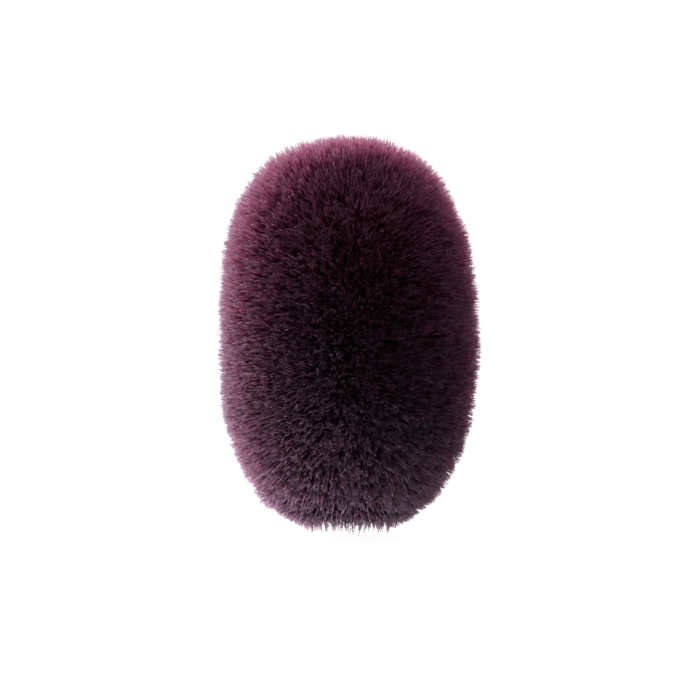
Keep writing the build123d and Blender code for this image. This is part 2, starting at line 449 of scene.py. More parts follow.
# ---------------------------------------------------------------- pile material
def pile_material():
    m, nt, out = new_material("pile_fibre")
    uv = node(nt, "ShaderNodeUVMap", uv_map="OFBake")
    sep = node(nt, "ShaderNodeSeparateXYZ")
    nt.links.new(uv.outputs[0], sep.inputs[0])
    col = math_node(nt, "FLOOR", math_node(nt, "MULTIPLY", sep.outputs[0], float(VARIANTS)))
    white = node(nt, "ShaderNodeTexWhiteNoise", noise_dimensions="1D")
    nt.links.new(col, white.inputs["W"])
    along = ramp(
        nt,
        [
            (0.0, (0.034, 0.0340, 0.042)),
            (0.55, (0.030, 0.0290, 0.039)),
            (0.82, (0.056, 0.0470, 0.069)),
            (1.0, (0.105, 0.0900, 0.130)),
        ],
    )
    nt.links.new(sep.outputs[1], along.inputs[0])
    # each fibre lighter or darker than the next at random; the top stops, two and three times as bright, are painted
    # highlights of tips catching light
    tint = ramp(
        nt,
        [
            (0.0, (0.35, 0.38, 0.40)),
            (0.50, (0.68, 0.68, 0.72)),
            (0.80, (1.10, 1.02, 1.08)),
            (0.93, (2.00, 1.80, 1.95)),
            (1.0, (3.00, 2.90, 3.20)),
        ],
    )
    nt.links.new(white.outputs["Value"], tint.inputs[0])
    # the first half of the columns is wine red, the other half greyer; the greyer ones are laid low down and on the
    # left as painted sheen
    painted_sheen_columns = math_node(nt, "GREATER_THAN", col, FAMILY - 0.5)
    family = node(nt, "ShaderNodeMix", data_type="RGBA", blend_type="MIX")
    nt.links.new(painted_sheen_columns, family.inputs["Factor"])
    family.inputs["A"].default_value = (1.40, 0.56, 0.92, 1)
    family.inputs["B"].default_value = (1.03, 0.97, 1.03, 1)
    shade = node(nt, "ShaderNodeMix", data_type="RGBA", blend_type="MULTIPLY")
    shade.inputs["Factor"].default_value = 1.0
    nt.links.new(tint.outputs[0], shade.inputs["A"])
    nt.links.new(family.outputs["Result"], shade.inputs["B"])
    mul = node(nt, "ShaderNodeMix", data_type="RGBA", blend_type="MULTIPLY")
    mul.inputs["Factor"].default_value = 1.0
    nt.links.new(along.outputs[0], mul.inputs["A"])
    nt.links.new(shade.outputs["Result"], mul.inputs["B"])
    # the last two columns are pale fibres: painted glints among the dark tips
    bright = math_node(nt, "GREATER_THAN", col, VARIANTS - 2.5)
    pale = node(nt, "ShaderNodeMix", data_type="RGBA", blend_type="MIX")
    nt.links.new(bright, pale.inputs["Factor"])
    nt.links.new(mul.outputs["Result"], pale.inputs["A"])
    painted_glint_ramp = ramp(
        nt, [(0.0, (0.02, 0.008, 0.014)), (0.6, (0.16, 0.09, 0.14)), (1.0, (0.60, 0.42, 0.58))]
    )
    nt.links.new(sep.outputs[1], painted_glint_ramp.inputs[0])
    nt.links.new(painted_glint_ramp.outputs[0], pale.inputs["B"])

    bsdf = node(nt, "ShaderNodeBsdfPrincipled")
    nt.links.new(pale.outputs["Result"], bsdf.inputs["Base Color"])
    bsdf.inputs["Roughness"].default_value = 0.40
    bsdf.inputs["Specular IOR Level"].default_value = 0.9
    bsdf.inputs["Sheen Weight"].default_value = 0.0
    through = node(nt, "ShaderNodeBsdfTranslucent")
    glow = ramp(
        nt,
        [
            (0.0, (0.03, 0.015, 0.025)),
            (0.5, (0.12, 0.045, 0.080)),
            (0.76, (0.48, 0.230, 0.340)),
            (1.0, (0.99, 0.820, 0.910)),
        ],
    )
    nt.links.new(sep.outputs[1], glow.inputs[0])
    # the greyer columns of painted sheen pass greyer light as well
    warm = node(nt, "ShaderNodeMix", data_type="RGBA", blend_type="MIX")
    nt.links.new(painted_sheen_columns, warm.inputs["Factor"])
    warm.inputs["A"].default_value = (1.0, 0.72, 0.84, 1)
    warm.inputs["B"].default_value = (0.94, 0.88, 0.94, 1)
    level = node(nt, "ShaderNodeMapRange")
    level.inputs["To Min"].default_value = 0.55
    level.inputs["To Max"].default_value = 1.0
    nt.links.new(white.outputs["Value"], level.inputs["Value"])
    lit = node(nt, "ShaderNodeMix", data_type="RGBA", blend_type="MULTIPLY")
    lit.inputs["Factor"].default_value = 1.0
    nt.links.new(glow.outputs[0], lit.inputs["A"])
    nt.links.new(warm.outputs["Result"], lit.inputs["B"])
    scaled = node(nt, "ShaderNodeVectorMath", operation="SCALE")
    nt.links.new(lit.outputs["Result"], scaled.inputs[0])
    nt.links.new(level.outputs["Result"], scaled.inputs["Scale"])
    nt.links.new(scaled.outputs[0], through.inputs["Color"])
    mix = node(nt, "ShaderNodeMixShader")
    mix.inputs[0].default_value = 0.55
    nt.links.new(bsdf.outputs[0], mix.inputs[1])
    nt.links.new(through.outputs[0], mix.inputs[2])
    # a fibre is clear acrylic: light on its way to the others passes through it, dyed
    clear = node(nt, "ShaderNodeBsdfTransparent")
    dye = ramp(
        nt,
        [
            (0.0, (0.10, 0.05, 0.08)),
            (0.5, (0.36, 0.18, 0.26)),
            (0.78, (0.86, 0.64, 0.74)),
            (1.0, (0.985, 0.93, 0.96)),
        ],
    )
    nt.links.new(sep.outputs[1], dye.inputs[0])
    nt.links.new(dye.outputs[0], clear.inputs["Color"])
    path = node(nt, "ShaderNodeLightPath")
    cast = node(nt, "ShaderNodeMixShader")
    nt.links.new(path.outputs["Is Shadow Ray"], cast.inputs[0])
    nt.links.new(mix.outputs[0], cast.inputs[1])
    nt.links.new(clear.outputs[0], cast.inputs[2])
    nt.links.new(cast.outputs[0], out.inputs["Surface"])
    return m


# ---------------------------------------------------------------- build the fur
def build_fur():
    spacing = 0.132
    g, p, nrm, d, length, owner, c, cd, ctip = strands(spacing, 0.27)
    mat = pile_material()
    pull = 0.62 + 0.34 * g.uniform(size=len(c))[owner] * g.uniform(0.5, 1.0, len(p))
    astray = g.uniform(size=len(p)) < 0.15
    pull[astray] = g.uniform(0.05, 0.55, astray.sum())
    # the share of greyer fibres grows low down and along the left: painted sheen of the light from below and from the
    # left; over the crown they stay wine red; a lock shares its tone
    sx = c[:, 0] / np.maximum(np.hypot(c[:, 0], c[:, 1]), 1e-6)
    painted_sheen_share = np.clip(1.0 - (c[:, 2] - 10.0) / 24.0 - 0.18 * sx, 0.08, 0.97)
    c_painted_sheen = g.uniform(size=len(c)) < painted_sheen_share
    c_shade = g.uniform(size=len(c))
    own = g.uniform(size=len(p)) < 0.60
    shade = np.where(own, g.uniform(size=len(p)), c_shade[owner])
    variant = np.where(
        c_painted_sheen[owner],
        FAMILY + (shade * (VARIANTS - 2 - FAMILY)).astype(int),
        (shade * FAMILY).astype(int),
    )
    # about one fibre in eighty takes the two pale columns: painted glints
    glint_fibre_mask = g.uniform(size=len(p)) < 0.012
    variant[glint_fibre_mask] = VARIANTS - 1 - g.integers(0, 2, glint_fibre_mask.sum())
    phi = np.arctan2(c[owner][:, 1], c[owner][:, 0])
    sectors = 8
    made = []
    for name, node_name, sign in (("pile_front", "pile_front", -1), ("pile_rear", "pile_rear", 1)):
        for k in range(sectors):
            a0, a1 = k * np.pi / sectors, (k + 1) * np.pi / sectors
            ang = np.abs(phi)
            pick = (np.sign(p[:, 1]) == sign) & (ang >= a0) & (ang < a1)
            idx = np.nonzero(pick)[0]
            v, f, uv = tubes(
                g, p[idx], d[idx], length[idx], owner[idx], c, cd, ctip, pull[idx], variant[idx]
            )
            o = mesh_object(f"{name}_{k + 1}", v, f, mat, "cover", uv=uv)
            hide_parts(node_name)
            made.append(o)
    # a few hundred loose ones, more of them low down
    likely = 0.6 + 0.8 * np.clip((34.0 - p[:, 2]) / 24.0, 0, 1)
    for name, node_name, sign in (("pile_front_loose", "pile_front", -1), ("pile_rear_loose", "pile_rear", 1)):
        of_side = np.nonzero((np.sign(p[:, 1]) == sign) & (np.abs(p[:, 1]) > 1.5) & (p[:, 2] > 3.0))[0]
        w = likely[of_side] / likely[of_side].sum()
        idx = g.choice(of_side, 300, replace=False, p=w)
        full = reach(p[idx], d[idx], TIP_R, TIP_H) * outline_scale(p[idx])
        v, f, uv = loose_fibres(g, p[idx], d[idx], full)
        o = outward(mesh_object(name, v, f, mat, "cover", uv=uv))
        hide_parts(node_name)
        made.append(o)
    print("strands", len(p), "clumps", len(c))
    return made


build_fur()

# ---------------------------------------------------------------- turned and sewn pieces
def fine(points, spacing, closed):
    """The same outline with no side longer than spacing."""
    pts = [np.array(p, float) for p in points]
    ends = pts + [pts[0]] if closed else pts
    out = []
    for a, b in zip(ends[:-1], ends[1:]):
        n = max(1, int(math.ceil(np.linalg.norm(b - a) / spacing)))
        out += [a + (b - a) * i / n for i in range(n)]
    if not closed:
        out.append(ends[-1])
    return np.array(out)


def outline_normals(prof, closed):
    if closed:
        t = np.roll(prof, -1, 0) - np.roll(prof, 1, 0)
    else:
        t = np.gradient(prof, axis=0)
    n = np.stack([t[:, 1], -t[:, 0]], 1)
    n /= np.maximum(np.linalg.norm(n, axis=1, keepdims=True), 1e-9)
    x, z = prof[:, 0], prof[:, 1]
    area = np.sum(x * np.roll(z, -1) - np.roll(x, -1) * z)
    return n if area > 0 else -n


def turned_piece(name, prof, cols, material, body, closed=True, relief=None):
    """A closed mesh turned about the axis from an outline in (radius, height).
    An open outline starts and ends on the axis."""
    nrm = outline_normals(prof, closed)
    phi = np.arange(cols) / cols * 2 * np.pi
    c, s = np.cos(phi), np.sin(phi)
    if not closed:
        poles = prof[[0, -1]]
        prof, nrm = prof[1:-1], nrm[1:-1]
    rows = len(prof)
    v = np.stack(
        [prof[:, :1] * c, prof[:, :1] * s, np.repeat(prof[:, 1:], cols, 1)], 2
    ).reshape(-1, 3)
    n3 = np.stack([nrm[:, :1] * c, nrm[:, :1] * s, np.repeat(nrm[:, 1:], cols, 1)], 2).reshape(-1, 3)
    if relief is not None:
        v = v + n3 * relief(v, n3)[:, None]
    i = np.arange(rows if closed else rows - 1)
    j = np.arange(cols)
    ii, jj = np.meshgrid(i, j, indexing="ij")
    i2, j2 = (ii + 1) % rows, (jj + 1) % cols
    quads = np.stack([ii * cols + jj, ii * cols + j2, i2 * cols + j2, i2 * cols + jj], 2).reshape(-1, 4)
    total = rows + (0 if closed else 1)
    uv_q = np.stack(
        [
            np.stack([jj / cols, (ii + 0.5) / (total + 1)], 2),
            np.stack([(jj + 1) / cols, (ii + 0.5) / (total + 1)], 2),
            np.stack([(jj + 1) / cols, (ii + 1.5) / (total + 1)], 2),
            np.stack([jj / cols, (ii + 1.5) / (total + 1)], 2),
        ],
        2,
    ).reshape(-1, 2)
    faces, uvs = [quads], [uv_q]
    if not closed:
        top, end = len(v), len(v) + 1
        v = np.concatenate([v, [[0, 0, poles[0][1]], [0, 0, poles[1][1]]]])
        k = (j + 1) % cols
        t1 = np.stack([np.full(cols, top), k, j], 1)
        t2 = np.stack([np.full(cols, end), (rows - 1) * cols + j, (rows - 1) * cols + k], 1)
        f = 0.5 / (total + 1)
        u1 = np.stack([np.stack([(j + 0.5) / cols, 0 * j + 0.0], 1), np.stack([(j + 1) / cols, 0 * j + f], 1), np.stack([j / cols, 0 * j + f], 1)], 1)
        e = (rows - 0.5) / (total + 1)
        u2 = np.stack([np.stack([(j + 0.5) / cols, 0 * j + e + 2 * f], 1), np.stack([j / cols, 0 * j + e], 1), np.stack([(j + 1) / cols, 0 * j + e], 1)], 1)
        faces.append(np.concatenate([t1, t2]))
        uvs.append(np.concatenate([u1, u2]).reshape(-1, 2))
    return outward(mesh_object(name, v, faces, material, body, uv=np.concatenate(uvs)))


def oval_line(a, b, r0, top0, r1, top1, spacing):
    """Points along the oval, from radius r0 to r1, in (radius, height)."""
    def angle(r, top):
        dz = b * (1.0 - min(1.0, r / a) ** N) ** (1.0 / N)
        return math.atan2((dz if top else -dz) / b, r / a)

    t = np.linspace(angle(r0, top0), angle(r1, top1), 3000)
    r, h = oval(t, a, b)
    s = np.concatenate([[0], np.cumsum(np.hypot(np.diff(r), np.diff(h)))])
    k = np.linspace(0, s[-1], max(3, int(s[-1] / spacing) + 1))
    return np.stack([np.interp(k, s, r), np.interp(k, s, h) + ZC], 1)


def cells(v, size, seed):
    """0 in the middle of an open cell, 1 on the web between two cells."""
    g = np.random.default_rng(SEED + seed)
    lo_v, hi_v = v.min(0) - size, v.max(0) + size
    n = np.maximum(((hi_v - lo_v) / size).astype(int), 1)
    ix = np.floor((v - lo_v) / size).astype(int)
    jit = g.uniform(0, 1, (n[0] + 3, n[1] + 3, n[2] + 3, 3))
    d1 = np.full(len(v), 9.0)
    d2 = np.full(len(v), 9.0)
    for dx in (-1, 0, 1):
        for dy in (-1, 0, 1):
            for dz in (-1, 0, 1):
                k = ix + (dx, dy, dz)
                kk = k + 1
                pt = (k + jit[kk[:, 0], kk[:, 1], kk[:, 2]]) * size + lo_v
                d = np.linalg.norm(v - pt, axis=1) / size
                nearer = d < d1
                d2 = np.where(nearer, d1, np.minimum(d2, d))
                d1 = np.where(nearer, d, d1)
    return np.clip(1.0 - (d2 - d1) / 0.35, 0, 1)


def uv_knit(nt, across, along_n):
    """Colour and height of a knitted face: columns of V stitches."""
    uv = node(nt, "ShaderNodeUVMap", uv_map="OFBake")
    sep = node(nt, "ShaderNodeSeparateXYZ")
    nt.links.new(uv.outputs[0], sep.inputs[0])
    x = math_node(nt, "MULTIPLY", sep.outputs[0], float(across))
    fx = math_node(nt, "FRACT", x)
    side = math_node(nt, "ABSOLUTE", math_node(nt, "SUBTRACT", fx, 0.5))
    y = math_node(nt, "ADD", math_node(nt, "MULTIPLY", sep.outputs[1], float(along_n)), math_node(nt, "MULTIPLY", side, 1.3))
    leg = math_node(nt, "SINE", math_node(nt, "MULTIPLY", math_node(nt, "FRACT", y), math.pi))
    across_leg = math_node(nt, "SINE", math_node(nt, "MULTIPLY", math_node(nt, "FRACT", math_node(nt, "MULTIPLY", side, 2.0)), math.pi))
    height = math_node(nt, "MULTIPLY", leg, math_node(nt, "POWER", across_leg, 0.6))
    one = math_node(nt, "ADD", math_node(nt, "FLOOR", x), math_node(nt, "MULTIPLY", math_node(nt, "FLOOR", y), 13.7))
    each = node(nt, "ShaderNodeTexWhiteNoise", noise_dimensions="1D")
    nt.links.new(one, each.inputs["W"])
    return height, each.outputs["Value"]


def cloth_material(name, across, along_n, dark, light, rough, depth, sheen=0.3):
    m, nt, out = new_material(name)
    height, each = uv_knit(nt, across, along_n)
    # stitch crowns lighter and the low parts between the legs down to about a third as dark: painted shade between the
    # stitch legs; the per-stitch part is the yarn's own random tone
    mixed = math_node(nt, "ADD", math_node(nt, "MULTIPLY", height, 0.7), math_node(nt, "MULTIPLY", each, 0.3))
    col = ramp(nt, [(0.0, tuple(0.35 * d for d in dark)), (0.45, dark), (1.0, light)])
    nt.links.new(mixed, col.inputs[0])
    coord = node(nt, "ShaderNodeTexCoord")
    fuzz = node(nt, "ShaderNodeTexNoise")
    fuzz.inputs["Scale"].default_value = 2600.0
    fuzz.inputs["Detail"].default_value = 3.0
    nt.links.new(coord.outputs["Object"], fuzz.inputs["Vector"])
    worn = node(nt, "ShaderNodeMix", data_type="RGBA", blend_type="OVERLAY")
    worn.inputs["Factor"].default_value = 0.45
    nt.links.new(col.outputs[0], worn.inputs["A"])
    nt.links.new(fuzz.outputs["Fac"], worn.inputs["B"])
    bsdf = node(nt, "ShaderNodeBsdfPrincipled")
    nt.links.new(worn.outputs["Result"], bsdf.inputs["Base Color"])
    r = node(nt, "ShaderNodeMapRange")
    r.inputs["To Min"].default_value = rough + 0.08
    r.inputs["To Max"].default_value = rough - 0.10
    nt.links.new(height, r.inputs["Value"])
    nt.links.new(r.outputs["Result"], bsdf.inputs["Roughness"])
    bsdf.inputs["Sheen Weight"].default_value = sheen
    bsdf.inputs["Sheen Roughness"].default_value = 0.45
    total = math_node(nt, "ADD", height, math_node(nt, "MULTIPLY", fuzz.outputs["Fac"], 0.35))
    bump = node(nt, "ShaderNodeBump")
    bump.inputs["Strength"].default_value = 0.8
    bump.inputs["Distance"].default_value = depth * MM
    nt.links.new(total, bump.inputs["Height"])
    nt.links.new(bump.outputs["Normal"], bsdf.inputs["Normal"])
    nt.links.new(bsdf.outputs[0], out.inputs["Surface"])
    return m


def speckled(name, stops, scale, rough, depth, specular=0.5, sheen=0.0, cell=False, coat=0.0):
    """Moulded, cellular or spun matter: uneven colour, gloss and grain from its own noise."""
    m, nt, out = new_material(name)
    coord = node(nt, "ShaderNodeTexCoord")
    broad = node(nt, "ShaderNodeTexNoise")
    broad.inputs["Scale"].default_value = scale * 0.16
    broad.inputs["Detail"].default_value = 4.0
    nt.links.new(coord.outputs["Object"], broad.inputs["Vector"])
    if cell:
        grain = node(nt, "ShaderNodeTexVoronoi", feature="DISTANCE_TO_EDGE")
        grain.inputs["Scale"].default_value = scale
        nt.links.new(coord.outputs["Object"], grain.inputs["Vector"])
        edge = node(nt, "ShaderNodeMapRange", interpolation_type="SMOOTHSTEP")
        edge.inputs["From Max"].default_value = 0.22
        edge.inputs["To Min"].default_value = 1.0
        edge.inputs["To Max"].default_value = 0.0
        nt.links.new(grain.outputs["Distance"], edge.inputs["Value"])
        height = edge.outputs["Result"]
    else:
        grain = node(nt, "ShaderNodeTexNoise")
        grain.inputs["Scale"].default_value = scale
        grain.inputs["Detail"].default_value = 5.0
        nt.links.new(coord.outputs["Object"], grain.inputs["Vector"])
        height = grain.outputs["Fac"]
    # with cell set, the middles of the cells come out darker than the webs between them: painted shade in the open
    # cells
    both = math_node(nt, "ADD", math_node(nt, "MULTIPLY", height, 0.6), math_node(nt, "MULTIPLY", broad.outputs["Fac"], 0.4))
    col = ramp(nt, stops)
    nt.links.new(both, col.inputs[0])
    bsdf = node(nt, "ShaderNodeBsdfPrincipled")
    nt.links.new(col.outputs[0], bsdf.inputs["Base Color"])
    r = node(nt, "ShaderNodeMapRange")
    r.inputs["From Min"].default_value = 0.3
    r.inputs["From Max"].default_value = 0.7
    r.inputs["To Min"].default_value = rough - 0.10
    r.inputs["To Max"].default_value = min(1.0, rough + 0.10)
    nt.links.new(broad.outputs["Fac"], r.inputs["Value"])
    nt.links.new(r.outputs["Result"], bsdf.inputs["Roughness"])
    bsdf.inputs["Specular IOR Level"].default_value = specular
    bsdf.inputs["Sheen Weight"].default_value = sheen
    bsdf.inputs["Coat Weight"].default_value = coat
    bump = node(nt, "ShaderNodeBump")
    bump.inputs["Strength"].default_value = 0.7
    bump.inputs["Distance"].default_value = depth * MM
    nt.links.new(height, bump.inputs["Height"])
    nt.links.new(bump.outputs["Normal"], bsdf.inputs["Normal"])
    nt.links.new(bsdf.outputs[0], out.inputs["Surface"])
    return m


def backing_panel(name, sign, material):
    """Half of the knitted ground: a closed shell with its wales raised on the inside."""
    cuff_ro, cuff_ri, cuff_z, step = 5.5, 5.05, 1.9, 0.27
    out_line = oval_line(BACK_R, BACK_H, 0.0, True, cuff_ro, False, step)
    in_line = oval_line(BACK_R - BACK_T, BACK_H - BACK_T, 0.0, True, cuff_ri, False, step)
    out_line = np.concatenate([out_line, fine([out_line[-1], (cuff_ro, cuff_z)], step, False)[1:]])
    in_line = np.concatenate([in_line, fine([in_line[-1], (cuff_ri, cuff_z)], step, False)[1:]])
    rows = len(out_line)

    def even(line, n):
        s = np.concatenate([[0], np.cumsum(np.linalg.norm(np.diff(line, axis=0), axis=1))])
        k = np.linspace(0, s[-1], n)
        return np.stack([np.interp(k, s, line[:, 0]), np.interp(k, s, line[:, 1])], 1)

    in_line = even(in_line, rows)
    cols = 124
    phi = np.linspace(0, np.pi, cols + 1) if sign > 0 else np.linspace(np.pi, 2 * np.pi, cols + 1)
    c, s = np.cos(phi), np.sin(phi)
    layers = []
    for k, line in enumerate((out_line, in_line)):
        line = line[1:]
        pts = np.stack([line[:, :1] * c, line[:, :1] * s, np.repeat(line[:, 1:], cols + 1, 1)], 2)
        if k == 1:
            t = np.gradient(line, axis=0)
            nr, nz = t[:, 1], -t[:, 0]
            length = np.hypot(nr, nz)
            nr, nz = nr / length, nz / length
            # the inside: grooves between wales every 0.8 mm, cut into the wall, none at the seam or the cuff
            wale = 0.5 - 0.5 * np.cos(phi[None] * (BACK_R / 0.8) * 2)
            fade = np.clip((line[:, 1] - 3.6) / 1.5, 0, 1)[:, None] * np.clip(line[:, 0] / 3.0, 0, 1)[:, None]
            edge = np.clip(np.minimum(phi - phi[0], phi[-1] - phi) / 0.12, 0, 1)[None]
            amp = -0.09 * (1 - wale) * fade * edge
            pts[:, :, 0] += amp * nr[:, None] * c
            pts[:, :, 1] += amp * nr[:, None] * s
            pts[:, :, 2] += amp * nz[:, None]
        pts[:, :, 1] += sign * 0.02
        layers.append(pts.reshape(-1, 3))
    per = (rows - 1) * (cols + 1)
    poles = np.array([[0, sign * 0.02, out_line[0, 1]], [0, sign * 0.02, in_line[0, 1]]])
    v = np.concatenate(layers + [poles])
    quads, uq, tris, ut = [], [], [], []

    def uvp(layer, i, j):
        return (j / cols) * 0.98 + 0.01, (layer * 0.5) + 0.01 + 0.47 * (i / rows)

    i, j = np.meshgrid(np.arange(rows - 2), np.arange(cols), indexing="ij")
    for layer in (0, 1):
        b = layer * per
        q = np.stack([b + i * (cols + 1) + j, b + i * (cols + 1) + j + 1, b + (i + 1) * (cols + 1) + j + 1, b + (i + 1) * (cols + 1) + j], 2).reshape(-1, 4)
        quads.append(q)
        uq.append(
            np.stack([np.stack(uvp(layer, i + 1, j), 2), np.stack(uvp(layer, i + 1, j + 1), 2), np.stack(uvp(layer, i + 2, j + 1), 2), np.stack(uvp(layer, i + 2, j), 2)], 2).reshape(-1, 2)
        )
        jj = np.arange(cols)
        tris.append(np.stack([np.full(cols, 2 * per + layer), b + jj, b + jj + 1], 1))
        u0 = np.stack(uvp(layer, 0 * jj, jj + 0.5), 1)
        u1 = np.stack(uvp(layer, 0 * jj + 1, jj), 1)
        u2 = np.stack(uvp(layer, 0 * jj + 1, jj + 1), 1)
        ut.append(np.stack([u0, u1, u2], 1).reshape(-1, 2))
    # walls along the lower edge and the two seam edges
    jj = np.arange(cols)
    low = (rows - 2) * (cols + 1)
    quads.append(np.stack([low + jj, low + jj + 1, per + low + jj + 1, per + low + jj], 1))
    uq.append(np.tile([[0.2, 0.485], [0.3, 0.485], [0.3, 0.495], [0.2, 0.495]], (cols, 1)))
    ii = np.arange(rows - 2)
    for e in (0, cols):
        a, b2 = ii * (cols + 1) + e, (ii + 1) * (cols + 1) + e
        quads.append(np.stack([a, b2, per + b2, per + a], 1))
        uq.append(np.tile([[0.4, 0.485], [0.5, 0.485], [0.5, 0.495], [0.4, 0.495]], (len(ii), 1)))
        quads.append(np.array([[2 * per, e, per + e, 2 * per + 1]]))
        uq.append(np.array([[0.6, 0.485], [0.7, 0.485], [0.7, 0.495], [0.6, 0.495]]))
    # the two poles' walls meet on the axis
    o = mesh_object(
        name,
        v,
        [np.concatenate(quads), np.concatenate(tris)],
        material,
        "cover",
        uv=np.concatenate(uq + ut),
    )
    return outward(o)


def panel_pattern(cuff_ro, cuff_ri, cuff_z):
    """Width, length and area of one cut panel in metres, worked out from the cover's
    dimensions: the middle of the cloth's thickness, from the crown to the cuff's edge,
    half a turn wide at each height, with no seam allowance and no ease."""
    a, b = BACK_R - BACK_T / 2, BACK_H - BACK_T / 2
    rc = (cuff_ro + cuff_ri) / 2
    line = oval_line(a, b, 0.0, True, rc, False, 0.01)
    line = np.concatenate([line, [[rc, cuff_z]]])
    step = np.linalg.norm(np.diff(line, axis=0), axis=1)
    mid = (line[1:, 0] + line[:-1, 0]) / 2
    return math.pi * a * MM, step.sum() * MM, float((math.pi * mid * step).sum()) * MM * MM


def plied(paths, radius, pitch, sides=7, plies=2):
    """Twisted two-ply thread along each path, every ply a closed tube."""
    verts, quads, tris, base = [], [], [], 0
    uq, ut = [], []
    for path in paths:
        path = np.array(path)
        n = len(path)
        t = unit(np.gradient(path, axis=0))
        ref = np.array([0.0, 0.0, 1.0]) if abs(t[0, 2]) < 0.9 else np.array([1.0, 0.0, 0.0])
        e1 = unit(np.cross(t, ref))
        e2 = np.cross(t, e1)
        s = np.concatenate([[0], np.cumsum(np.linalg.norm(np.diff(path, axis=0), axis=1))])
        for k in range(plies):
            a = 2 * np.pi * s / pitch + 2 * np.pi * k / plies
            mid = path + radius * 0.5 * (e1 * np.cos(a)[:, None] + e2 * np.sin(a)[:, None])
            th = np.arange(sides) / sides * 2 * np.pi
            rr = radius * 0.56 * np.ones(n)
            rr[0] = rr[-1] = radius * 0.34
            ring = mid[:, None] + rr[:, None, None] * (
                e1[:, None] * np.cos(th)[None, :, None] + e2[:, None] * np.sin(th)[None, :, None]
            )
            verts.append(ring.reshape(-1, 3))
            verts.append(mid[[0, -1]])
            i, j = np.meshgrid(np.arange(n - 1), np.arange(sides), indexing="ij")
            j2 = (j + 1) % sides
            quads.append((base + np.stack([i * sides + j, i * sides + j2, (i + 1) * sides + j2, (i + 1) * sides + j], 2)).reshape(-1, 4))
            u = np.stack(
                [
                    np.stack([j / sides, i / n], 2),
                    np.stack([(j + 1) / sides, i / n], 2),
                    np.stack([(j + 1) / sides, (i + 1) / n], 2),
                    np.stack([j / sides, (i + 1) / n], 2),
                ],
                2,
            )
            uq.append(u.reshape(-1, 2))
            jj = np.arange(sides)
            p0, p1 = base + n * sides, base + n * sides + 1
            tris.append(np.stack([np.full(sides, p0), base + (jj + 1) % sides, base + jj], 1))
            tris.append(np.stack([np.full(sides, p1), base + (n - 1) * sides + jj, base + (n - 1) * sides + (jj + 1) % sides], 1))
            ut.append(np.tile([[0.4, 0.99], [0.5, 0.995], [0.6, 0.99]], (2 * sides, 1)))
            base += n * sides + 2
    return np.concatenate(verts), [np.concatenate(quads), np.concatenate(tris)], np.concatenate(uq + ut)


def thread_material(name, dark, light):
    m, nt, out = new_material(name)
    coord = node(nt, "ShaderNodeTexCoord")
    fibre = node(nt, "ShaderNodeTexNoise")
    fibre.inputs["Scale"].default_value = 5200.0
    fibre.inputs["Detail"].default_value = 4.0
    fibre.inputs["Distortion"].default_value = 0.6
    nt.links.new(coord.outputs["Object"], fibre.inputs["Vector"])
    col = ramp(nt, [(0.30, dark), (0.70, light)])
    nt.links.new(fibre.outputs["Fac"], col.inputs[0])
    bsdf = node(nt, "ShaderNodeBsdfPrincipled")
    nt.links.new(col.outputs[0], bsdf.inputs["Base Color"])
    r = node(nt, "ShaderNodeMapRange")
    r.inputs["To Min"].default_value = 0.38
    r.inputs["To Max"].default_value = 0.62
    nt.links.new(fibre.outputs["Fac"], r.inputs["Value"])
    nt.links.new(r.outputs["Result"], bsdf.inputs["Roughness"])
    bsdf.inputs["Sheen Weight"].default_value = 0.3
    bump = node(nt, "ShaderNodeBump")
    bump.inputs["Strength"].default_value = 0.6
    bump.inputs["Distance"].default_value = 0.02 * MM
    nt.links.new(fibre.outputs["Fac"], bump.inputs["Height"])
    nt.links.new(bump.outputs["Normal"], bsdf.inputs["Normal"])
    nt.links.new(bsdf.outputs[0], out.inputs["Surface"])
    return m


def elastic_material():
    """Rubber core in a braided cover: two sets of crossing yarns round the ring."""
    m, nt, out = new_material("elastic_braid")
    coord = node(nt, "ShaderNodeTexCoord")
    sep = node(nt, "ShaderNodeSeparateXYZ")
    nt.links.new(coord.outputs["Object"], sep.inputs[0])
    x, y, z = sep.outputs
    phi = math_node(nt, "ARCTAN2", y, x)
    r = math_node(nt, "SQRT", math_node(nt, "ADD", math_node(nt, "MULTIPLY", x, x), math_node(nt, "MULTIPLY", y, y)))
    theta = math_node(nt, "ARCTAN2", math_node(nt, "SUBTRACT", z, HEM_Z * MM), math_node(nt, "SUBTRACT", r, HEM_R * MM))
    one = math_node(nt, "ADD", math_node(nt, "MULTIPLY", phi, 44.0), math_node(nt, "MULTIPLY", theta, 4.0))
    two = math_node(nt, "SUBTRACT", math_node(nt, "MULTIPLY", phi, 44.0), math_node(nt, "MULTIPLY", theta, 4.0))
    a = math_node(nt, "ABSOLUTE", math_node(nt, "SINE", one))
    b = math_node(nt, "ABSOLUTE", math_node(nt, "SINE", two))
    height = math_node(nt, "MAXIMUM", a, b)
    col = ramp(nt, [(0.0, (0.006, 0.006, 0.007)), (0.7, (0.020, 0.019, 0.022)), (1.0, (0.055, 0.050, 0.056))])
    nt.links.new(height, col.inputs[0])
    bsdf = node(nt, "ShaderNodeBsdfPrincipled")
    nt.links.new(col.outputs[0], bsdf.inputs["Base Color"])
    rough = node(nt, "ShaderNodeMapRange")
    rough.inputs["To Min"].default_value = 0.75
    rough.inputs["To Max"].default_value = 0.5
    nt.links.new(height, rough.inputs["Value"])
    nt.links.new(rough.outputs["Result"], bsdf.inputs["Roughness"])
    bump = node(nt, "ShaderNodeBump")
    bump.inputs["Strength"].default_value = 0.8
    bump.inputs["Distance"].default_value = 0.06 * MM
    nt.links.new(height, bump.inputs["Height"])
    nt.links.new(bump.outputs["Normal"], bsdf.inputs["Normal"])
    nt.links.new(bsdf.outputs[0], out.inputs["Surface"])
    return m


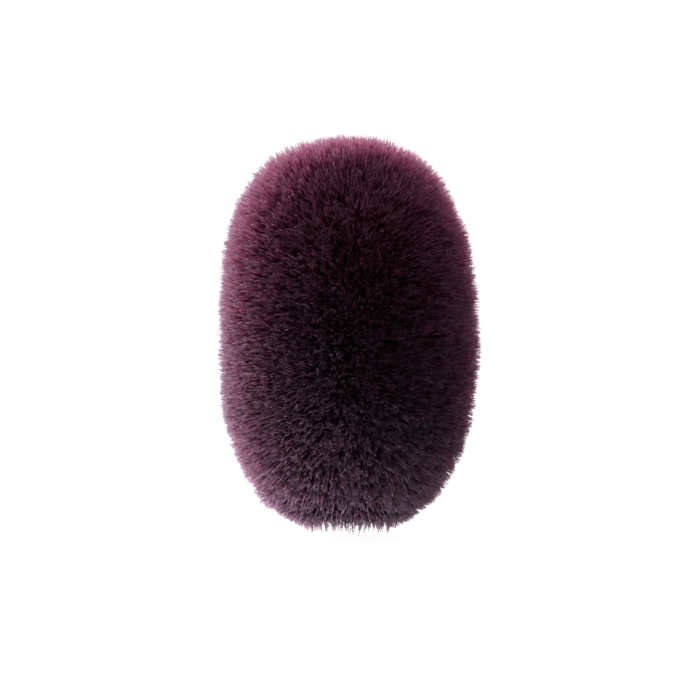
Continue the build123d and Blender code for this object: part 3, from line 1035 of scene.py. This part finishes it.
def build_rest():
    # knitted ground of the fur cloth, held in shape over the foam
    knit = cloth_material("backing_knit", 40, 150, (0.028, 0.010, 0.018), (0.080, 0.030, 0.052), 0.80, 0.09)
    width, length, area = panel_pattern(5.5, 5.05, 1.9)
    print("flat panel, mm and mm2: %.2f x %.2f, %.1f" % (width / MM, length / MM, area / MM / MM))
    for name, sign in (("backing_front", -1), ("backing_rear", 1)):
        o = backing_panel(name + "_knit", sign, knit)
        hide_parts(name)

    # sewn thread inside the seam: laid across it, clear of the cloth
    a, b = BACK_R - BACK_T - 0.16, BACK_H - BACK_T - 0.16
    line = oval_line(a, b, 0.0, True, 5.95, False, 0.01)
    s = np.concatenate([[0], np.cumsum(np.linalg.norm(np.diff(line, axis=0), axis=1))])
    g = np.random.default_rng(SEED + 70)
    paths = []
    for at in np.arange(1.35 / 2, s[-1], 1.35):
        r, z = np.interp(at, s, line[:, 0]), np.interp(at, s, line[:, 1])
        nr, nz = oval_normal(np.array([r]), np.array([z - ZC]), a, b)
        for side in (-1, 1):
            lean = g.normal() * 0.07
            u = np.linspace(-1, 1, 17)
            across = u * 0.75
            px = np.sqrt(np.maximum(r * r - across**2, 0)) if r > 1.2 else np.full(u.shape, r)
            px = px - nz[0] * lean * u * min(1.0, r / 3.0)
            pz = z + nr[0] * lean * u * min(1.0, r / 3.0)
            paths.append(np.stack([side * px, across, pz], 1))
    v, f, uv = plied(paths, 0.12, 0.55)
    thread = thread_material("polyester_thread", (0.020, 0.008, 0.014), (0.085, 0.035, 0.058))
    o = outward(mesh_object("side_seam_stitches", v, f, thread, "cover", uv=None))
    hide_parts("side_seam_thread")

    # the hem: a strip of the cloth rolled round the elastic, drawn in by it
    leg_i, leg_o, leg_t = 5.05 - 0.04 - 0.2, 5.5 + 0.04, 0.2
    ro, ri = HEM_RO, 0.58
    arc_out = [(HEM_R + ro * math.cos(t), HEM_Z + ro * math.sin(t)) for t in np.linspace(math.radians(183), math.radians(448), 46)]
    arc_out = [(r, z) for r, z in arc_out if not (z > HEM_Z and r < leg_o + leg_t)]
    arc_in = [(HEM_R + ri * math.cos(t), HEM_Z + ri * math.sin(t)) for t in np.linspace(math.radians(445), math.radians(187), 40)]
    arc_in = [(r, z) for r, z in arc_in if not (z > HEM_Z and r < leg_o + 0.02)]
    prof = (
        [(leg_i, HEM_TOP), (leg_i, HEM_Z + 0.05)]
        + arc_out
        + [(leg_o + leg_t, HEM_TOP), (leg_o, HEM_TOP)]
        + arc_in
        + [(leg_i + leg_t, HEM_Z + 0.05), (leg_i + leg_t, HEM_TOP)]
    )
    prof = fine(prof, 0.11, True)

    def gathers(v, n3):
        phi = np.arctan2(v[:, 1], v[:, 0])
        away = np.hypot(np.hypot(v[:, 0], v[:, 1]) - HEM_R, v[:, 2] - HEM_Z)
        roll = (away > 0.72) & (v[:, 2] < 1.9)
        wave = np.abs(np.sin(phi * 18 + 0.35 * np.sin(phi * 5))) ** 0.7
        return np.where(roll, np.minimum(-0.09 * (1 - wave) + 0.012 * waves(v, SEED + 71, 1.1), 0.0), 0.0)

    tape = cloth_material("hem_cloth", 120, 26, (0.030, 0.011, 0.019), (0.085, 0.032, 0.055), 0.82, 0.05)
    o = turned_piece("hem_rolled_strip", prof, 360, tape, "cover", relief=gathers)
    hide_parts("hem_binding")

    # running stitches round the hem
    paths = []
    r0 = leg_o + leg_t + 0.13
    for k in range(36):
        t0 = 2 * np.pi * (k + 0.5) / 36
        u = np.linspace(-1, 1, 13)
        t = t0 + u * 0.32 / r0
        r = r0 - 0.01 * np.abs(u) ** 4
        paths.append(np.stack([r * np.cos(t), r * np.sin(t), 2.6 + 0.04 * g.normal() + 0.05 * g.normal() * u], 1))
    v, f, uv = plied(paths, 0.10, 0.42)
    o = outward(mesh_object("hem_stitches", v, f, thread, "cover", uv=None))
    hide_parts("hem_stitching")

    # elastic: a rubber core in a braided sleeve, relief cut into its 0.5 mm section
    t = np.linspace(0, 2 * np.pi, 40, endpoint=False)
    prof = np.stack([HEM_R + 0.5 * np.cos(t), HEM_Z + 0.5 * np.sin(t)], 1)

    def braid(v, n3):
        phi = np.arctan2(v[:, 1], v[:, 0])
        th = np.arctan2(v[:, 2] - HEM_Z, np.hypot(v[:, 0], v[:, 1]) - HEM_R)
        one = np.abs(np.sin(phi * 44 + th * 4))
        two = np.abs(np.sin(phi * 44 - th * 4))
        return -0.06 * (1 - np.maximum(one, two) ** 0.7)

    o = turned_piece("elastic_braided", prof, 720, elastic_material(), "cover", relief=braid)
    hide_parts("elastic_cord")

    # foam core: open cells cut through at the surface
    foam = speckled(
        "open_cell_foam",
        [(0.0, (0.004, 0.004, 0.0045)), (0.35, (0.014, 0.014, 0.016)), (0.75, (0.045, 0.045, 0.050)), (1.0, (0.085, 0.085, 0.095))],
        1500.0, 0.88, 0.16, specular=0.25, sheen=0.15, cell=True,
    )

    def pits(v, n3):
        web = cells(v, 0.78, 72)
        web2 = cells(v, 0.46, 73)
        return -0.20 * (1 - web) ** 0.8 - 0.08 * (1 - web2)

    outer = oval_line(FOAM_R, FOAM_H, 4.2, True, 6.35, False, 0.24)
    prof = np.concatenate([outer, fine([outer[-1], (6.35, 6.95), (4.2, 6.95), outer[0]], 0.3, False)[1:-1]])
    o = turned_piece("foam_body_cells", prof, 236, foam, "core", relief=pits)
    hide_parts("foam_body")
    outer = oval_line(FOAM_R, FOAM_H, 0.0, True, 4.17, True, 0.24)
    prof = np.concatenate([outer, fine([outer[-1], (4.17, 26.05), (0.0, 26.05)], 0.3, False)[1:]])
    o = turned_piece("foam_nose_plug_cells", prof, 108, foam, "core", closed=False, relief=pits)
    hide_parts("foam_nose_plug")

    # knitted sock in the cavity
    sock = cloth_material("liner_knit", 34, 190, (0.018, 0.018, 0.020), (0.060, 0.060, 0.066), 0.78, 0.05)
    prof = fine([(0.0, 26.0), (4.15, 26.0), (4.15, 6.95), (3.85, 6.95), (3.85, 25.7), (0.0, 25.7)], 0.24, False)

    def ribs(v, n3):
        phi = np.arctan2(v[:, 1], v[:, 0])
        inner = (n3[:, 0] * np.cos(phi) + n3[:, 1] * np.sin(phi)) < -0.5
        return np.where(inner, -0.05 * (0.5 - 0.5 * np.cos(phi * 34)), 0.0)

    o = turned_piece("bore_liner_sock", prof, 204, sock, "core", closed=False, relief=ribs)
    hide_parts("bore_liner")

    # the two moulded parts keep their CAD shape
    nylon = speckled(
        "moulded_nylon",
        [(0.2, (0.010, 0.010, 0.011)), (0.5, (0.017, 0.017, 0.019)), (0.8, (0.034, 0.034, 0.037))],
        3800.0, 0.46, 0.02, specular=0.5,
    )
    silicone = speckled(
        "silicone",
        [(0.2, (0.020, 0.020, 0.022)), (0.5, (0.034, 0.034, 0.037)), (0.85, (0.060, 0.060, 0.066))],
        2100.0, 0.38, 0.012, specular=0.45, sheen=0.1,
    )
    for name, m in (("neck_ring", nylon), ("mic_sleeve", silicone)):
        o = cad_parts[name]
        if not o.material_slots:
            o.data.materials.append(m)
        for sl in o.material_slots:
            sl.material = m


build_rest()

# ---------------------------------------------------------------- stage, light and camera
def studio():
    world = bpy.data.worlds.new("studio")
    bpy.context.scene.world = world
    world.use_nodes = True
    nt = world.node_tree
    nt.nodes.clear()
    out = node(nt, "ShaderNodeOutputWorld")
    coord = node(nt, "ShaderNodeTexCoord")
    # a bright wall behind, a weaker one above and to the left, a dim room in front,
    # and a narrow one behind on the right
    total = None
    for towards, tight, level in (
        ((-0.34, 1.0, 0.0), 0.90, 14.0),
        ((-0.20, 0.52, 0.83), 0.60, 1.75),
        ((-0.95, 0.10, -0.05), 0.60, 0.04),
        ((0.0, -1.0, 0.10), 0.60, 0.09),
        ((0.52, 0.85, 0.0), 0.92, 3.0),
    ):
        dot = node(nt, "ShaderNodeVectorMath", operation="DOT_PRODUCT")
        nt.links.new(coord.outputs["Generated"], dot.inputs[0])
        dot.inputs[1].default_value = Vector(towards).normalized()
        span = node(nt, "ShaderNodeMapRange", interpolation_type="SMOOTHSTEP")
        span.inputs["From Min"].default_value = max(tight - 0.20, 0.1) if tight < 0.85 else tight - 0.12
        span.inputs["From Max"].default_value = min(tight + 0.20, 0.98)
        span.inputs["To Max"].default_value = level
        nt.links.new(dot.outputs["Value"], span.inputs["Value"])
        part = span.outputs["Result"]
        total = part if total is None else math_node(nt, "ADD", total, part)
    total = math_node(nt, "ADD", total, 0.035)
    lit = node(nt, "ShaderNodeBackground")
    lit.inputs["Color"].default_value = (0.98, 0.99, 1.0, 1)
    nt.links.new(total, lit.inputs["Strength"])
    seen = node(nt, "ShaderNodeBackground")
    seen.inputs["Color"].default_value = (1.0, 1.0, 1.0, 1)
    seen.inputs["Strength"].default_value = 1.02
    path = node(nt, "ShaderNodeLightPath")
    mix = node(nt, "ShaderNodeMixShader")
    nt.links.new(path.outputs["Is Camera Ray"], mix.inputs[0])
    nt.links.new(lit.outputs[0], mix.inputs[1])
    nt.links.new(seen.outputs[0], mix.inputs[2])
    nt.links.new(mix.outputs[0], out.inputs["Surface"])

    m, nt, out = new_material("floor")
    diff = node(nt, "ShaderNodeBsdfDiffuse")
    diff.inputs["Color"].default_value = (0.30, 0.30, 0.30, 1)
    emit = node(nt, "ShaderNodeEmission")
    emit.inputs["Color"].default_value = (1, 1, 1, 1)
    emit.inputs["Strength"].default_value = 0.92
    add = node(nt, "ShaderNodeAddShader")
    nt.links.new(diff.outputs[0], add.inputs[0])
    nt.links.new(emit.outputs[0], add.inputs[1])
    # the sweep throws most of its light up close under the object, from the left
    dim = node(nt, "ShaderNodeEmission")
    place = node(nt, "ShaderNodeNewGeometry")
    away = node(nt, "ShaderNodeVectorMath", operation="DISTANCE")
    nt.links.new(place.outputs["Position"], away.inputs[0])
    away.inputs[1].default_value = (-0.012, -0.010, (ZC - TIP_H) * MM)
    near = node(nt, "ShaderNodeMapRange", interpolation_type="SMOOTHSTEP")
    near.inputs["From Min"].default_value = 0.032
    near.inputs["From Max"].default_value = 0.004
    near.inputs["To Min"].default_value = 0.06
    near.inputs["To Max"].default_value = 5.0
    nt.links.new(away.outputs["Value"], near.inputs["Value"])
    nt.links.new(near.outputs["Result"], dim.inputs["Strength"])
    path = node(nt, "ShaderNodeLightPath")
    mix = node(nt, "ShaderNodeMixShader")
    nt.links.new(path.outputs["Is Camera Ray"], mix.inputs[0])
    nt.links.new(dim.outputs[0], mix.inputs[1])
    nt.links.new(add.outputs[0], mix.inputs[2])
    nt.links.new(mix.outputs[0], out.inputs["Surface"])
    bpy.ops.mesh.primitive_circle_add(
        vertices=96, radius=3.0, fill_type="NGON", location=(0, 0, (ZC - TIP_H) * MM - 0.0002)
    )
    floor = bpy.context.object
    floor.name = "floor"
    floor.data.materials.append(m)

    def softbox(name, place, aim, size, power, colour):
        light = bpy.data.lights.new(name, "AREA")
        light.shape = "RECTANGLE"
        light.size, light.size_y = size
        light.energy = power
        light.color = colour
        o = bpy.data.objects.new(name, light)
        o.location = place
        o.rotation_euler = (Vector(aim) - Vector(place)).to_track_quat("-Z", "Y").to_euler()
        bpy.context.scene.collection.objects.link(o)

    softbox("glint", (-0.16, -0.30, 0.30), (0, 0, 0.020), (0.03, 0.03), 0.10, (1.0, 0.98, 1.0))
    softbox("key", (-0.22, 0.10, 0.42), (0, 0, 0.022), (0.22, 0.22), 0.25, (1.0, 0.97, 0.98))

    cam = bpy.data.cameras.new("camera")
    cam.sensor_width = 36.0
    distance = 0.30
    width_mm = 700 * 0.1106
    cam.lens = 36.0 * distance / (width_mm * MM)
    cam.clip_start, cam.clip_end = 0.01, 20
    o = bpy.data.objects.new("camera", cam)
    o.location = (0.0002, -distance, (ZC - 16 * 0.1106) * MM)
    o.rotation_euler = (math.radians(90), 0, 0)
    bpy.context.scene.collection.objects.link(o)
    bpy.context.scene.camera = o
    bpy.context.scene.cycles.use_denoising = True
    bpy.context.scene.cycles.transparent_max_bounces = 24
    view = bpy.context.scene.view_settings
    view.view_transform = "Standard"
    view.look = "None"


studio()
